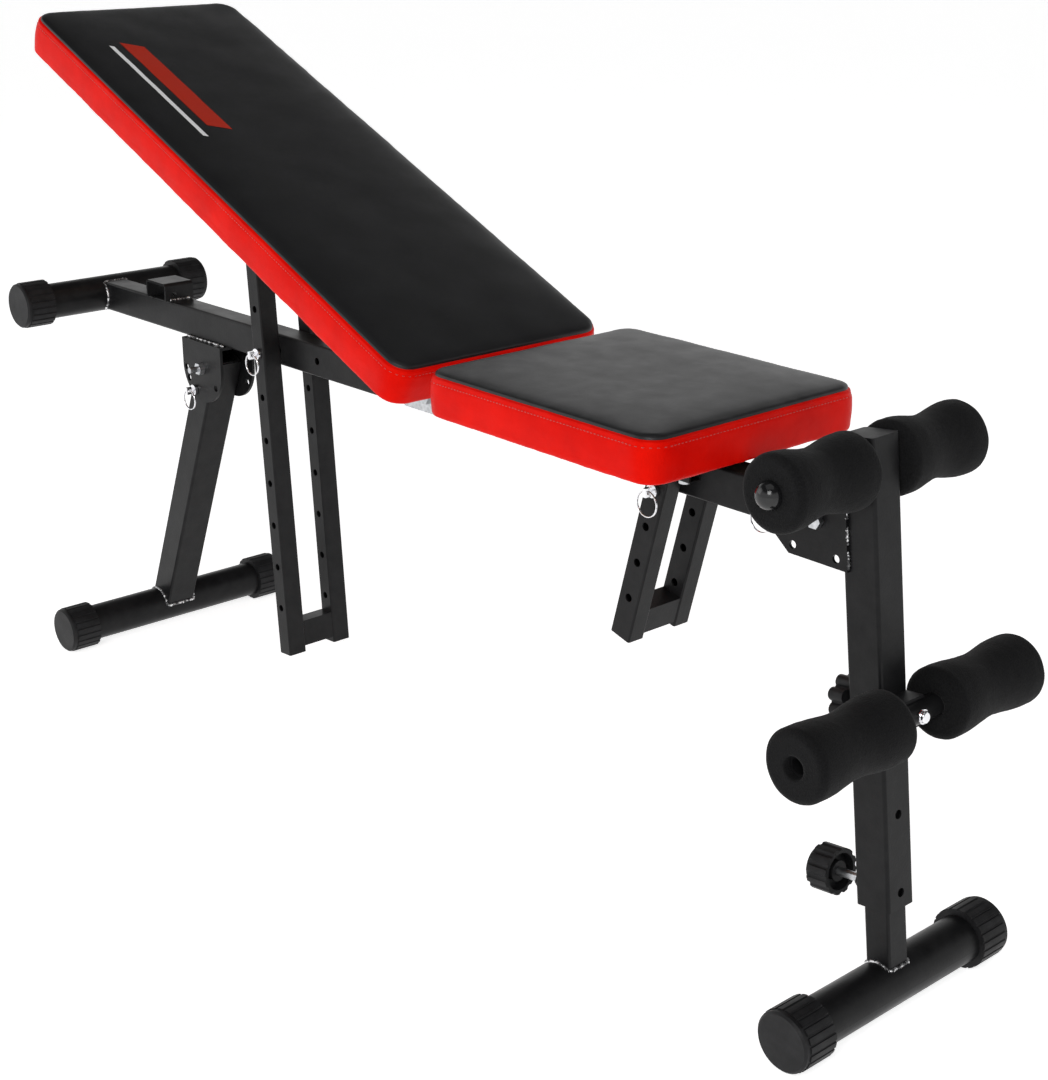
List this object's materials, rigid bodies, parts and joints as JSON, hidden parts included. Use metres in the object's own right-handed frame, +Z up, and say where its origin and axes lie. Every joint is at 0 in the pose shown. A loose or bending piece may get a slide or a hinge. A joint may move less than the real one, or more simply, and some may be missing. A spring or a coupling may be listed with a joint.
{
  "type": "decline sit up bench",
  "caption": "Folding sit up bench with a tilting padded backrest and seat on pinned ladders, foam leg rollers and a telescoping front foot.",
  "frame": {"origin": "on the floor, below the middle of the bench's length and width", "axes": "+X runs from the rear cross tube to the leg hold post, +Y across the bench to the side without pull pins, +Z up"},
  "size_m": [1.3622, 0.32, 0.7872],
  "materials": {
    "black_paint": "satin black stoved paint",
    "black_plastic": "black moulded plastic with a fine grain",
    "gloss_cap": "polished black plastic",
    "zinc": "bright zinc plate",
    "chrome": "bright chrome plate",
    "black_foam": "fine textured black foam, matte",
    "pad_vinyl": "grained vinyl cover, black top face with a bright red side band",
    "plywood": "bare plywood"
  },
  "bodies": {
    "frame": {"main_beam": "black_paint", "beam_end_plug": "black_plastic", "rear_cross_tube": "black_paint", "rear_cross_caps": "black_plastic", "bridge_bracket": "black_paint", "leg_bracket": "black_paint", "leg_pivot_bolt": "zinc", "pad_hinge_plates": "zinc", "hinge_plate_bolts": "zinc", "pad_hinge_rod": "zinc", "post_pivot_bolt": "zinc"},
    "rear_leg": {"rear_leg_tube": "black_paint", "rear_foot_tube": "black_paint", "rear_foot_caps": "black_plastic"},
    "front_post": {"post_tube": "black_paint", "post_top_plug": "black_plastic", "post_gussets": "black_paint", "post_guide_bush": "black_plastic", "upper_roller_bar": "zinc", "upper_bar_balls": "gloss_cap", "lower_roller_bar": "black_paint", "lower_bar_saddle": "black_plastic", "lower_bar_bolt": "chrome", "post_lock_nut": "black_paint"},
    "front_foot": {"inner_post_tube": "black_paint", "front_foot_tube": "black_paint", "front_foot_caps": "black_plastic"},
    "backrest": {"backrest_pad": "pad_vinyl", "backrest_board": "plywood", "backrest_rail_near": "black_paint", "backrest_rail_far": "black_paint", "backrest_cross_bars": "black_paint", "backrest_screws": "zinc", "backrest_ladder_pin": "zinc"},
    "backrest_ladder": {"backrest_ladder_rails": "black_paint", "backrest_ladder_cross": "black_paint"},
    "seat": {"seat_pad": "pad_vinyl", "seat_board": "plywood", "seat_rail_near": "black_paint", "seat_rail_far": "black_paint", "seat_cross_bars": "black_paint", "seat_screws": "zinc", "seat_ladder_pin": "zinc"},
    "seat_ladder": {"seat_ladder_rails": "black_paint", "seat_ladder_cross": "black_paint"},
    "upper_roller_near": {"upper_roller_near": "black_foam"},
    "upper_roller_far": {"upper_roller_far": "black_foam"},
    "lower_roller_near": {"lower_roller_near": "black_foam"},
    "lower_roller_far": {"lower_roller_far": "black_foam"},
    "star_knob": {"star_knob": "black_plastic"},
    "lock_knob": {"lock_knob": "black_plastic", "lock_knob_shank": "zinc"},
    "backrest_lock_pin": {"backrest_lock_pin": "chrome"},
    "backrest_lock_ring": {"backrest_lock_ring": "chrome"},
    "seat_lock_pin": {"seat_lock_pin": "chrome"},
    "seat_lock_ring": {"seat_lock_ring": "chrome"},
    "post_lock_pin": {"post_lock_pin": "chrome"},
    "post_lock_ring": {"post_lock_ring": "chrome"},
    "leg_lock_pin": {"leg_lock_pin": "chrome"},
    "leg_lock_ring": {"leg_lock_ring": "chrome"}
  },
  "joints": [
    {"name": "rear_leg_fold", "type": "hinge", "parent": "frame", "child": "rear_leg", "pos_m": [-0.39917, 0, 0.3796], "axis": [0, -1, 0], "range_deg": [0, 40]},
    {"name": "front_post_fold", "type": "hinge", "parent": "frame", "child": "front_post", "pos_m": [0.55233, 0, 0.4371], "axis": [0, 1, 0], "range_deg": [0, 50]},
    {"name": "front_foot_telescope", "type": "slide", "parent": "front_post", "child": "front_foot", "axis": [0.1231, 0, -0.9924], "range_m": [0, 0.075]},
    {"name": "backrest_tilt", "type": "hinge", "parent": "frame", "child": "backrest", "pos_m": [0.14733, 0, 0.4746], "axis": [0, 1, 0], "range_deg": [-7.4, 38.7]},
    {"name": "backrest_ladder_swing", "type": "hinge", "parent": "backrest", "child": "backrest_ladder", "pos_m": [-0.25729, 0, 0.61358], "axis": [0, 1, 0], "range_deg": [-12.6, 2.6]},
    {"name": "seat_tilt", "type": "hinge", "parent": "frame", "child": "seat", "pos_m": [0.14733, 0, 0.4746], "axis": [0, -1, 0], "range_deg": [0, 18.6]},
    {"name": "seat_ladder_swing", "type": "hinge", "parent": "seat", "child": "seat_ladder", "pos_m": [0.39133, 0, 0.4596], "axis": [0, -1, 0], "range_deg": [-4.4, 0.2]},
    {"name": "upper_roller_near_spin", "type": "hinge", "parent": "front_post", "child": "upper_roller_near", "pos_m": [0.58705, 0, 0.48956], "axis": [0, 1, 0], "continuous": true},
    {"name": "upper_roller_far_spin", "type": "hinge", "parent": "front_post", "child": "upper_roller_far", "pos_m": [0.58705, 0, 0.48956], "axis": [0, 1, 0], "continuous": true},
    {"name": "lower_roller_near_spin", "type": "hinge", "parent": "front_post", "child": "lower_roller_near", "pos_m": [0.64856, 0, 0.28699], "axis": [0, 1, 0], "continuous": true},
    {"name": "lower_roller_far_spin", "type": "hinge", "parent": "front_post", "child": "lower_roller_far", "pos_m": [0.64856, 0, 0.28699], "axis": [0, 1, 0], "continuous": true},
    {"name": "star_knob_spin", "type": "hinge", "parent": "front_post", "child": "star_knob", "pos_m": [0.58296, 0, 0.27886], "axis": [-0.9924, 0, -0.1231], "continuous": true},
    {"name": "lock_knob_spin", "type": "hinge", "parent": "front_post", "child": "lock_knob", "pos_m": [0.60352, 0, 0.11313], "axis": [-0.9924, 0, -0.1231], "continuous": true},
    {"name": "backrest_lock_pull", "type": "slide", "parent": "backrest_ladder", "child": "backrest_lock_pin", "axis": [0, -1, 0], "range_m": [0, 0.03]},
    {"name": "backrest_lock_ring_swing", "type": "hinge", "parent": "backrest_lock_pin", "child": "backrest_lock_ring", "pos_m": [-0.24422, -0.0524, 0.43044], "axis": [1, 0, 0], "range_deg": [-80, 15]},
    {"name": "seat_lock_pull", "type": "slide", "parent": "seat_ladder", "child": "seat_lock_pin", "axis": [0, -1, 0], "range_m": [0, 0.03]},
    {"name": "seat_lock_ring_swing", "type": "hinge", "parent": "seat_lock_pin", "child": "seat_lock_ring", "pos_m": [0.38207, -0.0494, 0.4249], "axis": [1, 0, 0], "range_deg": [-80, 15]},
    {"name": "post_lock_pull", "type": "slide", "parent": "front_post", "child": "post_lock_pin", "axis": [0, -1, 0], "range_m": [0, 0.03]},
    {"name": "post_lock_ring_swing", "type": "hinge", "parent": "post_lock_pin", "child": "post_lock_ring", "pos_m": [0.49933, -0.02945, 0.437], "axis": [1, 0, 0], "range_deg": [-80, 15]},
    {"name": "leg_lock_pull", "type": "slide", "parent": "frame", "child": "leg_lock_pin", "axis": [0, -1, 0], "range_m": [0, 0.03]},
    {"name": "leg_lock_ring_swing", "type": "hinge", "parent": "leg_lock_pin", "child": "leg_lock_ring", "pos_m": [-0.41667, -0.0331, 0.3499], "axis": [1, 0, 0], "range_deg": [-80, 15]}
  ],
  "couplings": [
    {"joint": "backrest_ladder_swing", "follows": "backrest_tilt", "ratio": -0.32},
    {"joint": "seat_ladder_swing", "follows": "seat_tilt", "ratio": -0.226}
  ]
}
